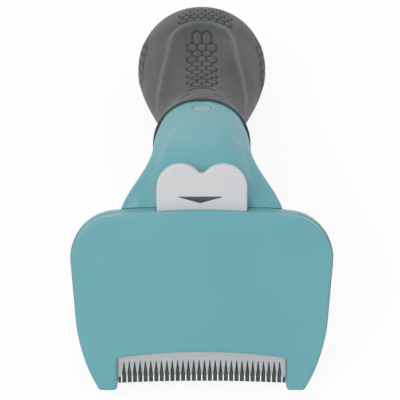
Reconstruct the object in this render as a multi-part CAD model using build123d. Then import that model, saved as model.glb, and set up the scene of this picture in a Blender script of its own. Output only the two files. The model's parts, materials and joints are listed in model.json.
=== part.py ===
from build123d import *
from math import atan2, cos, degrees, pi, radians, sin, sqrt, tan
import os

# Handheld deshedding tool: a flat head with a toothed edge between two skin guards, a push button that slides
# an ejector plate down over the comb, and a rubber-covered handle that leaves the head backwards.
# Lengths are in millimetres.
#
# Every piece is drawn in the head's own axes: X across, Y up the head from the guard tips, Z out of the front
# face. A depth is counted back from the front face, so a depth of 3 lies at Z = -3. The finished pieces are
# then laid on the table, resting on the heels of the two guards and on the underside of the handle's end.

# --- Head ---
HEAD_HALF_WIDTH = 34.95
HEAD_HEIGHT = 48.6
HEAD_DEPTH = 10.5
PARTING_DEPTH = 5.5            # where the front cover meets the rear shell
CROWN_RADIUS = 185.0           # the slightly convex top edge
CORNER_RADIUS = 12.3
SIDE_LEAN = 4.5                # degrees that each side leans in, going down
GUARD_START = 17.8             # height at which the sides start to curve in to the guards
GUARD_OUTER = 27.8             # half-distance over the guard tips
MOUTH_WIDTH = 45.0             # clear width between the guards, where the edge shows
MOUTH_CENTRE_HEIGHT = 10.4     # lower edge of the covers at the middle
MOUTH_END_HEIGHT = 8.7         # and beside the guards
GUARD_CORNER_RADIUS = 0.95
COVER_INSET = 0.6              # the front cover stands in from the rear shell by this much at the sides
COVER_TOP_INSET = 0.15         # and by this much at the top
WALL = 1.8
FRONT_EDGE_RADIUS = 0.85
REAR_EDGE_RADIUS = 0.85
SEAM_GAP = 0.1

# --- Comb blade, its clamp bar and its pad ---
TOOTH_PITCH = 1.43
TOOTH_COUNT = 30
SLOT_WIDTH = 0.32
SLOT_TOP = 8.0
COMB_TIP_HEIGHT = 1.7
TIP_SAG = 0.55                 # the tips fall away towards the guards by this much
BLADE_THICKNESS = 0.9
BLADE_SIDE_GAP = 0.2
BLADE_TOP_GAP = 0.5            # from the blade's top edge to the top of its pad
CLAMP_HEIGHT = 4.6
CLAMP_THICKNESS = 0.8
CLAMP_SIDE_GAP = 1.4
PAD_BOTTOM = 9.9
PAD_HEIGHT = 7.0

# --- Ejector: plate, slider, button ---
TRAVEL = 5.5
PLATE_THICKNESS = 0.5
COVER_TO_PLATE = 0.7
LAYER_GAP = 0.2
PRONG_TIP_HEIGHT = 3.7
PRONG_ROOT_HEIGHT = 7.75
PRONG_TIP_WIDTH = 0.18
PRONG_ROOT_GAP = 0.16          # width of the notch between two prongs at its closed end
PLATE_SHOULDER = 18.9          # above this height the plate narrows to the slider
SLIDER_HALF_WIDTH = 18.0
SLIDER_HEIGHT = 8.0
SLIDER_TO_PAD = 1.0            # left between slider and pad when the button is fully down
SLIDER_OVER_PLATE = 2.0
TONGUE_HALF_WIDTH = 9.0
TONGUE_THICKNESS = 1.7
BUTTON_HALF_WIDTH = 11.95
BUTTON_RISE = 11.7             # how far the button stands above the head's top edge
BUTTON_SKIRT = 6.2             # and how far it reaches down inside
BUTTON_THICKNESS = 3.2
BUTTON_TO_COVER = 0.2
LOBE_RADIUS = 6.33             # the two round lobes of the button's top
LOBE_DIP_RADIUS = 1.4
BUTTON_EDGE_RADIUS = 0.6
SLIDE_GAP = 0.3
RAIL_THICKNESS = 1.4
STOP_OFFSET = 14.5
STOP_HALF_WIDTH = 2.4
STOP_HEIGHT = 2.5

# --- Return springs and their pins ---
SPRING_OFFSET = 13.2
SPRING_RADIUS = 1.3            # to the middle of the wire
SPRING_WIRE = 0.4
SPRING_TURNS = 8
SPRING_POCKET = 6.5
SPRING_CLEARANCE = 0.25
PIN_RADIUS = 0.75
PIN_SEAT = 4.0

# --- Fasteners ---
SCREW_FIT = 0.02
CROSS_WIDTH = 0.5
HEAD_SCREW_RADIUS = 1.1
HEAD_SCREW_HEAD_RADIUS = 2.1
HEAD_SCREW_HEAD_HEIGHT = 1.4
HEAD_SCREW_LENGTH = 6.0
HEAD_BOSS_RADIUS = 2.7
UPPER_SCREW_IN = 7.95          # from the head's side and from its top edge to the upper screws
UPPER_SCREW_DOWN = 9.0
LOWER_SCREW_OUT = 4.1          # outside the mouth's side, and above its arch, to the lower screws
LOWER_SCREW_UP = 4.5
BLADE_SCREW_SPREAD = 18.5
BLADE_SCREW_RADIUS = 0.9
BLADE_SCREW_HEAD_RADIUS = 1.75
BLADE_SCREW_LENGTH = 5.6
BUTTON_SCREW_OFFSET = 5.5
BUTTON_SCREW_RADIUS = 0.8
BUTTON_SCREW_HEAD_RADIUS = 1.5
BUTTON_SCREW_HEAD_HEIGHT = 0.9
BUTTON_SCREW_LENGTH = 4.2
RIVET_OFFSET = 8.0
RIVET_RADIUS = 0.9
RIVET_HEAD_RADIUS = 1.6
RIVET_HEAD_HEIGHT = 0.45
RIVET_LENGTH = 4.0
HANDLE_SCREW_RADIUS = 1.2
HANDLE_SCREW_HEAD_RADIUS = 2.3
HANDLE_SCREW_HEAD_HEIGHT = 1.6
HANDLE_SCREW_LENGTH = 11.0
HANDLE_BOSS_RADIUS = 3.0
HANDLE_SCREW_SEAT = 5.5        # below the parting line
NECK_SCREW_OFFSET = 7.5
CORE_SCREW_DISTANCES = (24.0, 54.0)

# --- Neck and handle ---
HANDLE_BEND = 74.0             # degrees between the head's plane and the handle's axis
COLLAR_BACK = 26.5             # from the head's back to where the rubber starts, on the handle's axis
COLLAR_RISE = 12.05            # and from the head's top edge up to it
COLLAR_HALF_WIDTH = 13.1
COLLAR_HALF_HEIGHT = 11.0
COLLAR_POWER = 2.35            # how square the section is there, where 2 is an ellipse
COLLAR_SLANT = 28.0            # degrees by which the rubber's front edge leans along the handle
COLLAR_LIP = 0.6
CORE_OVERLAP = 3.0             # the handle's core starts this far inside the neck
NECK_ROOT_HALF_WIDTH = 21.7
NECK_WALL = 2.0
GRIP_LENGTH = 84.0             # from the collar to the handle's end, along its axis
WAIST_DISTANCE = 15.0
WAIST_HALF_WIDTH = 11.7
WAIST_TOP = 12.4
PALM_DISTANCE = 60.0
PALM_HALF_WIDTH = 19.5
PALM_TOP = 18.6
PALM_BOTTOM = 14.5
PALM_POWER = 2.05
RUBBER_THICKNESS = 2.2
CORE_WALL = 2.0
THUMB_REST_DEPTH = 2.4
THUMB_REST_HALF_WIDTH = 11.5
THUMB_REST_START = 4.0
THUMB_REST_END = 58.0
CORE_START = -9.0              # where the handle's core is begun, before the collar

# --- Sections of the neck, from inside the head up to the collar ---
# Back and rise are shares of the way to the collar, spread is the share of the narrowing from the root's
# width, and top and bottom are shares of the collar's half height. The plateau is the flat middle's share of
# the width, beside which each flank is hollowed.
NECK_END = dict(back=-0.045, rise=-1.52, lean=0, spread=0.60, top=0.22, bottom=0.20, power=2.6)
NECK_ROOT = dict(back=-0.004, rise=-0.74, lean=4, spread=0.05, top=0.32, bottom=0.30, power=2.6)
NECK_MOUTH = dict(back=0.04, rise=-0.15, lean=16, spread=0.0, top=0.52, bottom=0.45, power=2.5)
NECK_LOWER_BEND = dict(back=0.19, rise=0.35, lean=34, spread=0.44, top=0.87, bottom=0.62, power=2.3)
NECK_UPPER_BEND = dict(back=0.51, rise=0.74, lean=56, spread=0.88, top=0.98, bottom=0.83, power=2.3)
NECK_ROOT.update(plateau=0.60, flank=0.4)
NECK_MOUTH.update(plateau=0.62, flank=1.0)
NECK_LOWER_BEND.update(plateau=0.60, flank=2.0)
NECK_UPPER_BEND.update(plateau=0.52, flank=1.0)
REST_CUT = 0.4                 # depth of the small flats on which the tool lies

# --- Badge in its dish on the neck, just in front of the rubber ---
BADGE_DISTANCE = 1.9
BADGE_RADIUS = 2.6
BADGE_THICKNESS = 1.0
BADGE_FIT = 0.05
DISH_RADIUS = 3.7
DISH_DEPTH = 0.5

# --- Worked out from the sizes above ---
HEAD_FLOOR = HEAD_DEPTH - WALL
REAR_FRONT = PARTING_DEPTH + SEAM_GAP
PLATE_DEPTH = WALL + COVER_TO_PLATE
PLATE_BACK = PLATE_DEPTH + PLATE_THICKNESS
CLAMP_DEPTH = PLATE_BACK + LAYER_GAP
BLADE_DEPTH = CLAMP_DEPTH + CLAMP_THICKNESS
BLADE_BACK = BLADE_DEPTH + BLADE_THICKNESS
BLADE_HALF_WIDTH = MOUTH_WIDTH / 2 - BLADE_SIDE_GAP
PAD_TOP = PAD_BOTTOM + PAD_HEIGHT
BLADE_TOP = PAD_TOP - BLADE_TOP_GAP
CLAMP_TOP = BLADE_TOP - LAYER_GAP
BLADE_SCREW_HEIGHT = CLAMP_TOP - CLAMP_HEIGHT / 2
SLIDER_BACK = HEAD_FLOOR - SLIDE_GAP
SLIDER_BOTTOM = PAD_TOP + TRAVEL + SLIDER_TO_PAD
SLIDER_TOP = SLIDER_BOTTOM + SLIDER_HEIGHT
PLATE_TOP = SLIDER_TOP - SLIDER_OVER_PLATE
BUTTON_FRONT = WALL + BUTTON_TO_COVER
BUTTON_BACK = BUTTON_FRONT + BUTTON_THICKNESS
BUTTON_BOTTOM = HEAD_HEIGHT - BUTTON_SKIRT
BUTTON_TOP = HEAD_HEIGHT + BUTTON_RISE
TONGUE_TOP = HEAD_HEIGHT - WALL - SLIDE_GAP
BUTTON_SCREW_HEIGHT = (BUTTON_BOTTOM + TONGUE_TOP) / 2
SPRING_DEPTH = (PLATE_BACK + SLIDER_BACK) / 2 + SLIDE_GAP
SPRING_TOP = SLIDER_BOTTOM + SPRING_POCKET
PIN_TOP = SPRING_TOP - TRAVEL - SLIDE_GAP
COLLAR_DEPTH = HEAD_DEPTH + COLLAR_BACK
COLLAR_HEIGHT = HEAD_HEIGHT + COLLAR_RISE
EPS = 1e-4
FAR = 200.0


def slab(outline, front, back):
    """The outline made solid between two depths behind the front face."""
    return extrude(Plane.XY.offset(-front) * outline, amount=front - back)


def box(left, right, bottom, top, front, back):
    """A block between two sides, two heights and two depths."""
    outline = Pos((left + right) / 2, (bottom + top) / 2) * Rectangle(right - left, top - bottom)
    return slab(outline, front, back)


def peg(x, height, front, back, radius):
    """A round peg or bore square to the front face."""
    return slab(Pos(x, height) * Circle(radius), front, back)


def screw(shank_radius, length, head_radius, head_height, countersunk=False):
    """A screw along Z whose head sits on Z = 0, or lies flush with it if countersunk, with a cross recess."""
    tall = 0 if countersunk else head_height
    if countersunk:
        head = Pos(0, 0, -head_height / 2) * Cone(shank_radius, head_radius, head_height)
    else:
        head = Pos(0, 0, head_height / 2) * Cylinder(head_radius, head_height)
    shank = Pos(0, 0, -length / 2) * Cylinder(shank_radius, length)
    deep = head_height * 0.6
    arm = Box(head_radius * 1.1, CROSS_WIDTH, deep)
    cross = Pos(0, 0, tall - deep / 2) * (arm + Rot(Z=90) * arm)
    return head + shank - cross


# ---------------------------------------------------------------- head outlines
def closed_head(inset=0.0, top_inset=None):
    """The head's outline with the mouth between the guards filled in, drawn in at its sides and its top."""
    top_inset = inset if top_inset is None else top_inset
    crown_centre = HEAD_HEIGHT - CROWN_RADIUS
    radius = CORNER_RADIUS - inset
    crown_radius = CROWN_RADIUS - top_inset
    corner_x = HEAD_HALF_WIDTH - CORNER_RADIUS
    corner_y = crown_centre + sqrt((crown_radius - radius) ** 2 - corner_x**2)
    lean = radians(SIDE_LEAN)
    top_angle = atan2(corner_y - crown_centre, corner_x)

    def on_corner(angle):
        return (corner_x + radius * cos(angle), corner_y + radius * sin(angle))

    top, elbow, side = on_corner(top_angle), on_corner((top_angle - lean) / 2), on_corner(-lean)
    knee = (side[0] - (side[1] - GUARD_START) * tan(lean), GUARD_START)
    tip = (GUARD_OUTER - inset, 0)
    half = Curve() + [
        ThreePointArc(top, elbow, side),
        Line(side, knee),
        TangentArc(knee, tip, tangent=(-sin(lean), -cos(lean))),
        Line(tip, (0, 0)),
    ]
    crown = ThreePointArc((-top[0], top[1]), (0, HEAD_HEIGHT - top_inset), top)
    return make_face(half + mirror(half, about=Plane.YZ) + crown)


def mouth():
    """The opening between the guards, with the covers' arched lower edge as its top."""
    half, end = MOUTH_WIDTH / 2, MOUTH_END_HEIGHT
    corners = [(-half, end), (-half, -end), (half, -end), (half, end)]
    arch = ThreePointArc(corners[-1], (0, MOUTH_CENTRE_HEIGHT), corners[0])
    return make_face(Polyline(*corners) + arch)


def head_outline(inset=0.0, top_inset=0.0):
    """The head's outline with its two skin guards, all their corners rounded."""
    outline = closed_head(inset, top_inset) - mouth()
    half = MOUTH_WIDTH / 2
    at_mouth = [v for v in outline.vertices() if abs(abs(v.X) - half) < EPS]
    at_tips = [v for v in outline.vertices() if abs(v.Y) < EPS and abs(v.X) > half + EPS]
    return fillet(at_mouth + at_tips, GUARD_CORNER_RADIUS)


def cavity(inset, front, back, top_inset=None):
    """The hollow inside the head: within its walls, above the guards, and open down through the mouth."""
    above_guards = Pos(0, MOUTH_CENTRE_HEIGHT + FAR / 2) * Rectangle(FAR, FAR)
    chamber = slab(closed_head(inset, top_inset) & above_guards, front, back)
    half = MOUTH_WIDTH / 2
    return chamber + box(-half, half, -MOUTH_CENTRE_HEIGHT, MOUTH_CENTRE_HEIGHT + WALL, front, back)


def head_screw_places():
    """Where the four head screws stand."""
    upper = (HEAD_HALF_WIDTH - UPPER_SCREW_IN, HEAD_HEIGHT - UPPER_SCREW_DOWN)
    lower = (MOUTH_WIDTH / 2 + LOWER_SCREW_OUT, MOUTH_CENTRE_HEIGHT + LOWER_SCREW_UP)
    return [(side * x, y) for x, y in (upper, lower) for side in (1, -1)]


# ---------------------------------------------------------------- neck and handle
class Station:
    """A cross-section of the neck or handle: where it stands, how it leans and how large it is."""

    POINTS = 28

    def __init__(self, place, lean, half_width, top, bottom, power=2.4, plateau=0.0, flank=0.0, scoop=0.0):
        self.centre = Vector(0, place[1], -place[0])
        self.lean = radians(lean)
        self.half_width, self.top, self.bottom = half_width, top, bottom
        self.power, self.plateau, self.flank, self.scoop = power, plateau, flank, scoop

    def height_at(self, angle):
        """Height of the outline above the centre, at an angle from the top."""
        reach = abs(squircle(sin(angle), self.power))
        if cos(angle) <= 0:
            return squircle(cos(angle), self.power) * self.bottom
        height = squircle(cos(angle), self.power) * self.top
        height -= self.flank * flank_dip(reach, self.plateau)
        return height - self.scoop * thumb_dip(reach * self.half_width)

    def face(self):
        """The section as a face square to the way the handle runs there."""
        across = Vector(self.half_width, 0, 0)
        up = Vector(0, sin(self.lean), cos(self.lean))
        angles = [2 * pi * step / self.POINTS for step in range(self.POINTS)]
        offsets = [across * squircle(sin(a), self.power) + up * self.height_at(a) for a in angles]
        return Face(Wire(Edge.make_spline([self.centre + offset for offset in offsets], periodic=True)))


def squircle(value, power):
    """One coordinate of a superellipse, from the cosine or sine of its angle."""
    return (1 if value >= 0 else -1) * abs(value) ** (2 / power)


def flank_dip(reach, plateau):
    """Share of the flank's hollow, which runs from the plateau's edge to the section's edge."""
    if plateau <= 0 or reach <= plateau:
        return 0.0
    return sin(pi * (reach - plateau) / (1 - plateau)) ** 2


def thumb_dip(across):
    """Share of the thumb rest's hollow, at a distance from the middle."""
    if abs(across) >= THUMB_REST_HALF_WIDTH:
        return 0.0
    return cos(pi / 2 * across / THUMB_REST_HALF_WIDTH) ** 2


def blend(low, high, share):
    """Smooth passage from one value to another."""
    share = min(max(share, 0.0), 1.0)
    return low + (high - low) * share * share * (3 - 2 * share)


def on_axis(distance):
    """Depth and height of the point of the handle's axis at a distance beyond the collar."""
    bend = radians(HANDLE_BEND)
    return COLLAR_DEPTH + distance * sin(bend), COLLAR_HEIGHT + distance * cos(bend)


def grip_station(distance, inset):
    """The rubber's cross-section, drawn in by an inset: a waist, then a palm swell and a round end."""
    to_waist = distance / WAIST_DISTANCE
    to_palm = (distance - WAIST_DISTANCE) / (PALM_DISTANCE - WAIST_DISTANCE)
    collar_width, collar_height = COLLAR_HALF_WIDTH + COLLAR_LIP, COLLAR_HALF_HEIGHT + COLLAR_LIP
    if to_waist < 1:
        width = blend(collar_width, WAIST_HALF_WIDTH, to_waist)
        top = blend(collar_height, WAIST_TOP, to_waist)
        bottom = collar_height
    else:
        width = blend(WAIST_HALF_WIDTH, PALM_HALF_WIDTH, to_palm**0.8)
        top = blend(WAIST_TOP, PALM_TOP, to_palm**1.3)
        bottom = blend(collar_height, PALM_BOTTOM, to_palm)
    ease = 1.0
    if distance > PALM_DISTANCE:
        ease = sqrt(1 - ((distance - PALM_DISTANCE) / (GRIP_LENGTH - inset - PALM_DISTANCE)) ** 2)
    third = (THUMB_REST_END - THUMB_REST_START) / 3
    scoop = blend(0, THUMB_REST_DEPTH, (distance - THUMB_REST_START) / third)
    scoop = blend(scoop, 0, (distance - THUMB_REST_END + third) / third)
    sizes = [(size - inset) * ease for size in (width, top, bottom)]
    power = blend(COLLAR_POWER, PALM_POWER, to_waist)
    return Station(on_axis(distance), HANDLE_BEND, *sizes, power=power, scoop=scoop)


def handle_loft(inset):
    """The handle's body drawn in by an inset, from inside the neck to its round end."""
    swell = PALM_DISTANCE - WAIST_DISTANCE
    round_end = GRIP_LENGTH - inset - PALM_DISTANCE
    distances = [CORE_START, 0.0, WAIST_DISTANCE / 2]
    distances += [WAIST_DISTANCE + swell * step / 6 for step in range(7)]
    distances += [PALM_DISTANCE + round_end * sin(radians(turn)) for turn in (18, 36, 52, 66, 80)]
    return loft([grip_station(distance, inset).face() for distance in distances])


def neck_place(section):
    """Depth and height at which a section of the neck stands."""
    return HEAD_DEPTH + COLLAR_BACK * section["back"], HEAD_HEIGHT + COLLAR_RISE * section["rise"]


def neck_station(section, inset):
    """The station of a section of the neck, drawn in by an inset."""
    half_width = NECK_ROOT_HALF_WIDTH + (COLLAR_HALF_WIDTH - NECK_ROOT_HALF_WIDTH) * section["spread"]
    sizes = (half_width, COLLAR_HALF_HEIGHT * section["top"], COLLAR_HALF_HEIGHT * section["bottom"])
    shape = {name: section[name] for name in ("power", "plateau", "flank") if name in section}
    return Station(neck_place(section), section["lean"], *[size - inset for size in sizes], **shape)


def neck_stations(inset):
    """The neck from inside the head's back to just inside the rubber, drawn in by an inset."""
    buried = [neck_station(section, inset) for section in (NECK_END, NECK_ROOT)]
    open_part = [neck_station(section, inset) for section in (NECK_MOUTH, NECK_LOWER_BEND, NECK_UPPER_BEND)]
    distances = (0, WAIST_DISTANCE * 0.4, WAIST_DISTANCE * 0.8)
    return buried, open_part + [grip_station(distance, COLLAR_LIP + inset) for distance in distances]


def collar_space(shift, beyond):
    """All that lies beyond, or before, the slanting plane where the rubber starts."""
    turn = radians(HANDLE_BEND + COLLAR_SLANT)
    depth, height = on_axis(shift)
    plane = Plane(origin=(0, height, -depth), x_dir=(1, 0, 0), z_dir=(0, cos(turn), -sin(turn)))
    return plane * Pos(0, 0, FAR / 2 if beyond else -FAR / 2) * Box(FAR * 2, FAR * 2, FAR)


def upper_space(gap):
    """All that lies above the parting line of the neck and handle halves, outside the head."""
    spine = [(HEAD_DEPTH, HEAD_HEIGHT - WALL), neck_place(NECK_LOWER_BEND), neck_place(NECK_UPPER_BEND)]
    spine += [on_axis(0), on_axis(GRIP_LENGTH)]
    corners = [(-FAR / 4, HEAD_HEIGHT / 2), (HEAD_DEPTH, HEAD_HEIGHT / 2)]
    corners += spine + [(FAR, FAR), (-FAR / 4, FAR)]
    points = [(0, height + gap, -depth) for depth, height in corners]
    space = extrude(make_face(Polyline(*points, close=True)), amount=FAR / 4, both=True)
    return space - slab(closed_head(-gap), -FAR / 4, HEAD_DEPTH + gap)


def handle_axes(place, lean, x=0.0):
    """Axes at a point of the neck or handle, with Z square to the way it runs and up out of it."""
    depth, height = place
    up = (0, sin(radians(lean)), cos(radians(lean)))
    return Plane(origin=(x, height, -depth), x_dir=(1, 0, 0), z_dir=up)


def neck_screw_axes():
    """Axes of the two neck screws."""
    place, lean = neck_place(NECK_UPPER_BEND), NECK_UPPER_BEND["lean"]
    return [handle_axes(place, lean, side * NECK_SCREW_OFFSET) for side in (1, -1)]


def core_screw_axes():
    """Axes of the screws that join the two halves of the handle's core under the rubber."""
    return [handle_axes(on_axis(distance), HANDLE_BEND) for distance in CORE_SCREW_DISTANCES]


def handle_screw():
    """One screw of the neck or core, with its head down."""
    head = HANDLE_SCREW_HEAD_RADIUS, HANDLE_SCREW_HEAD_HEIGHT
    return Rot(X=180) * screw(HANDLE_SCREW_RADIUS, HANDLE_SCREW_LENGTH, *head)


def plastic_body():
    """The hollow neck and handle core in one, before it is parted into halves."""
    buried, open_part = neck_stations(0)
    neck = loft([station.face() for station in buried + open_part]) & collar_space(0, beyond=False)
    neck -= loft([station.face() for station in neck_stations(NECK_WALL)[1]])
    core = handle_loft(RUBBER_THICKNESS) & collar_space(-CORE_OVERLAP, beyond=True)
    core -= handle_loft(RUBBER_THICKNESS + CORE_WALL)
    body = neck + core
    column = Cylinder(HANDLE_BOSS_RADIUS, FAR / 4)
    neck_room = loft([station.face() for station in neck_stations(NECK_WALL / 2)[1]])
    for axes in neck_screw_axes():
        body += axes * column & neck_room
    core_room = handle_loft(RUBBER_THICKNESS + CORE_WALL / 2)
    for axes in core_screw_axes():
        body += axes * column & core_room
    reach = HANDLE_SCREW_LENGTH + SCREW_FIT
    bore = Pos(0, 0, reach / 2 - HANDLE_SCREW_SEAT) * Cylinder(HANDLE_SCREW_RADIUS + SCREW_FIT, reach)
    sink = Cylinder(HANDLE_SCREW_HEAD_RADIUS + SLIDE_GAP, FAR / 4)
    sink = Pos(0, 0, -HANDLE_SCREW_SEAT - FAR / 8) * sink
    for axes in neck_screw_axes() + core_screw_axes():
        body -= axes * bore
        body -= axes * sink
    return body - cavity(WALL, -FAR / 4, HEAD_FLOOR)


# ---------------------------------------------------------------- pieces
def make_head_front_cover():
    body = slab(head_outline(COVER_INSET, COVER_TOP_INSET), 0, PARTING_DEPTH)
    body = fillet(body.edges().group_by(Axis.Z)[-1], FRONT_EDGE_RADIUS)
    body -= cavity(COVER_INSET + WALL, WALL, PARTING_DEPTH, top_inset=COVER_TOP_INSET + WALL)
    slot = BUTTON_HALF_WIDTH + SLIDE_GAP
    body -= box(-slot, slot, HEAD_HEIGHT - 2 * WALL, HEAD_HEIGHT + WALL, WALL, PARTING_DEPTH)
    screw_end = head_screw_seat() - HEAD_SCREW_LENGTH - SCREW_FIT
    for x, y in head_screw_places():
        body += peg(x, y, WALL / 2, PARTING_DEPTH, HEAD_BOSS_RADIUS)
        body -= peg(x, y, screw_end, PARTING_DEPTH, HEAD_SCREW_RADIUS + SCREW_FIT)
    return body


def head_screw_seat():
    """Depth at which the heads of the head screws sit."""
    return HEAD_DEPTH - HEAD_SCREW_HEAD_HEIGHT - LAYER_GAP


def make_rear_shell(plastic):
    pan = slab(head_outline(), REAR_FRONT, HEAD_DEPTH)
    pan = fillet(pan.edges().group_by(Axis.Z)[0], REAR_EDGE_RADIUS)
    pan -= cavity(WALL, REAR_FRONT, HEAD_FLOOR)
    pan += plastic - upper_space(0)
    half = BLADE_HALF_WIDTH
    pan += box(-half, half, PAD_BOTTOM, PAD_TOP, BLADE_BACK, HEAD_FLOOR + WALL / 2)
    edge = SLIDER_HALF_WIDTH + SLIDE_GAP
    for side in (1, -1):
        rail = sorted((side * edge, side * (edge + RAIL_THICKNESS)))
        pan += box(*rail, SLIDER_BOTTOM - TRAVEL, SLIDER_TOP + STOP_HEIGHT, REAR_FRONT, HEAD_FLOOR + WALL / 2)
        stop = [side * STOP_OFFSET - STOP_HALF_WIDTH, side * STOP_OFFSET + STOP_HALF_WIDTH]
        pan += box(*stop, SLIDER_TOP, SLIDER_TOP + STOP_HEIGHT, REAR_FRONT, HEAD_FLOOR + WALL / 2)
        pan -= spring_bore(side * SPRING_OFFSET, PAD_TOP - PIN_SEAT, PAD_TOP, PIN_RADIUS + SCREW_FIT)
    for x, y in head_screw_places():
        pan += peg(x, y, REAR_FRONT, HEAD_FLOOR + WALL / 2, HEAD_BOSS_RADIUS)
        pan -= peg(x, y, REAR_FRONT, HEAD_DEPTH, HEAD_SCREW_RADIUS + SCREW_FIT)
        pan -= peg(x, y, head_screw_seat(), HEAD_DEPTH, HEAD_SCREW_HEAD_RADIUS + LAYER_GAP)
    screw_end = CLAMP_DEPTH + BLADE_SCREW_LENGTH + SCREW_FIT
    for x in blade_screw_places():
        pan -= peg(x, BLADE_SCREW_HEIGHT, BLADE_BACK, screw_end, BLADE_SCREW_RADIUS + SCREW_FIT)
    return pan - table_space()


def spring_bore(x, bottom, top, radius):
    """A round bore or rod along a return spring's axis."""
    plane = Plane(origin=(x, bottom, -SPRING_DEPTH), x_dir=(1, 0, 0), z_dir=(0, 1, 0))
    return extrude(plane * Circle(radius), amount=top - bottom)


def blade_screw_places():
    return (-BLADE_SCREW_SPREAD, 0, BLADE_SCREW_SPREAD)


def make_neck_top_shell(plastic):
    shell = plastic & upper_space(SEAM_GAP)
    slot = BUTTON_HALF_WIDTH + SLIDE_GAP
    shell -= box(-slot, slot, HEAD_HEIGHT / 2, FAR / 2, -FAR / 4, BUTTON_BACK + SLIDE_GAP)
    axes = badge_axes()
    ball = (DISH_RADIUS**2 + DISH_DEPTH**2) / (2 * DISH_DEPTH)
    shell -= axes * Pos(0, 0, ball - DISH_DEPTH) * Sphere(ball)
    seat = BADGE_THICKNESS + DISH_DEPTH / 2
    shell -= axes * Pos(0, 0, -seat / 2) * Cylinder(BADGE_RADIUS + BADGE_FIT, seat)
    return shell


def badge_axes():
    """Axes on the neck's top surface where the badge lies."""
    axes = handle_axes(on_axis(BADGE_DISTANCE), HANDLE_BEND)
    return axes.offset(COLLAR_HALF_HEIGHT)


def make_size_badge():
    disc = Cylinder(BADGE_RADIUS, BADGE_THICKNESS)
    disc = fillet(disc.edges().sort_by(Axis.Z)[-1], BADGE_THICKNESS / 4)
    return badge_axes() * Pos(0, 0, -DISH_DEPTH / 2 - BADGE_THICKNESS / 2) * disc


def make_grip_sleeve():
    sleeve = handle_loft(0) & collar_space(SEAM_GAP, beyond=True)
    sleeve -= handle_loft(RUBBER_THICKNESS)
    return sleeve - table_space()


def make_comb_blade():
    half, corner = BLADE_HALF_WIDTH, COMB_TIP_HEIGHT - TIP_SAG
    corners = [(-half, corner), (-half, BLADE_TOP), (half, BLADE_TOP), (half, corner)]
    outline = make_face(Polyline(*corners) + ThreePointArc(corners[-1], (0, COMB_TIP_HEIGHT), corners[0]))
    slot = Pos(0, SLOT_TOP / 2) * SlotCenterToCenter(SLOT_TOP, SLOT_WIDTH, rotation=90)
    outline -= [Pos(x, 0) * slot for x in gap_places()]
    blade = slab(outline, BLADE_DEPTH, BLADE_BACK)
    for x in blade_screw_places():
        blade -= peg(x, BLADE_SCREW_HEIGHT, BLADE_DEPTH, BLADE_BACK, BLADE_SCREW_RADIUS + SCREW_FIT)
    return blade


def gap_places():
    """The places across the edge of the gaps between comb teeth, which are also those of the prongs."""
    return [(gap - TOOTH_COUNT / 2) * TOOTH_PITCH for gap in range(TOOTH_COUNT + 1)]


def make_blade_clamp_bar():
    half = BLADE_HALF_WIDTH - CLAMP_SIDE_GAP
    bar = box(-half, half, CLAMP_TOP - CLAMP_HEIGHT, CLAMP_TOP, CLAMP_DEPTH, BLADE_DEPTH)
    for x in blade_screw_places():
        place = Pos(x, BLADE_SCREW_HEIGHT, -CLAMP_DEPTH)
        sink = Cone(BLADE_SCREW_RADIUS + SCREW_FIT, BLADE_SCREW_HEAD_RADIUS + SCREW_FIT, CLAMP_THICKNESS)
        bar -= place * Pos(0, 0, -CLAMP_THICKNESS / 2) * sink
    return bar


def make_blade_screws():
    head = BLADE_SCREW_HEAD_RADIUS, CLAMP_THICKNESS
    one = screw(BLADE_SCREW_RADIUS, BLADE_SCREW_LENGTH, *head, countersunk=True)
    return [Pos(x, BLADE_SCREW_HEIGHT, -CLAMP_DEPTH) * one for x in blade_screw_places()]


def make_ejector_plate():
    half = BLADE_HALF_WIDTH

    def sag(x):
        return TIP_SAG * (x / half) ** 2

    places = gap_places()
    edge = [(-half, PRONG_TIP_HEIGHT - TIP_SAG)]
    for index, x in enumerate(places):
        tip = PRONG_TIP_HEIGHT - sag(x)
        edge += [(x - PRONG_TIP_WIDTH / 2, tip), (x + PRONG_TIP_WIDTH / 2, tip)]
        if index < TOOTH_COUNT:
            middle = x + TOOTH_PITCH / 2
            root = PRONG_ROOT_HEIGHT - sag(middle)
            edge += [(middle - PRONG_ROOT_GAP / 2, root), (middle + PRONG_ROOT_GAP / 2, root)]
    edge += [(half, PRONG_TIP_HEIGHT - TIP_SAG)]
    step = [(half, PLATE_SHOULDER), (SLIDER_HALF_WIDTH, PLATE_SHOULDER + half - SLIDER_HALF_WIDTH)]
    step += [(SLIDER_HALF_WIDTH, PLATE_TOP)]
    step += [(-x, y) for x, y in reversed(step)]
    plate = slab(make_face(Polyline(*edge, *step, close=True)), PLATE_DEPTH, PLATE_BACK)
    for x in rivet_places():
        plate -= peg(x, rivet_height(), PLATE_DEPTH, PLATE_BACK, RIVET_RADIUS + SCREW_FIT)
    return plate


def rivet_places():
    return (-RIVET_OFFSET, 0, RIVET_OFFSET)


def rivet_height():
    return (SLIDER_BOTTOM + PLATE_TOP) / 2


def make_ejector_rivets():
    rivets = []
    for x in rivet_places():
        head = peg(x, rivet_height(), PLATE_DEPTH - RIVET_HEAD_HEIGHT, PLATE_DEPTH, RIVET_HEAD_RADIUS)
        head = fillet(head.edges().sort_by(Axis.Z)[-1], RIVET_HEAD_HEIGHT * 0.7)
        rivets.append(head + peg(x, rivet_height(), PLATE_DEPTH, PLATE_DEPTH + RIVET_LENGTH, RIVET_RADIUS))
    return rivets


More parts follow.
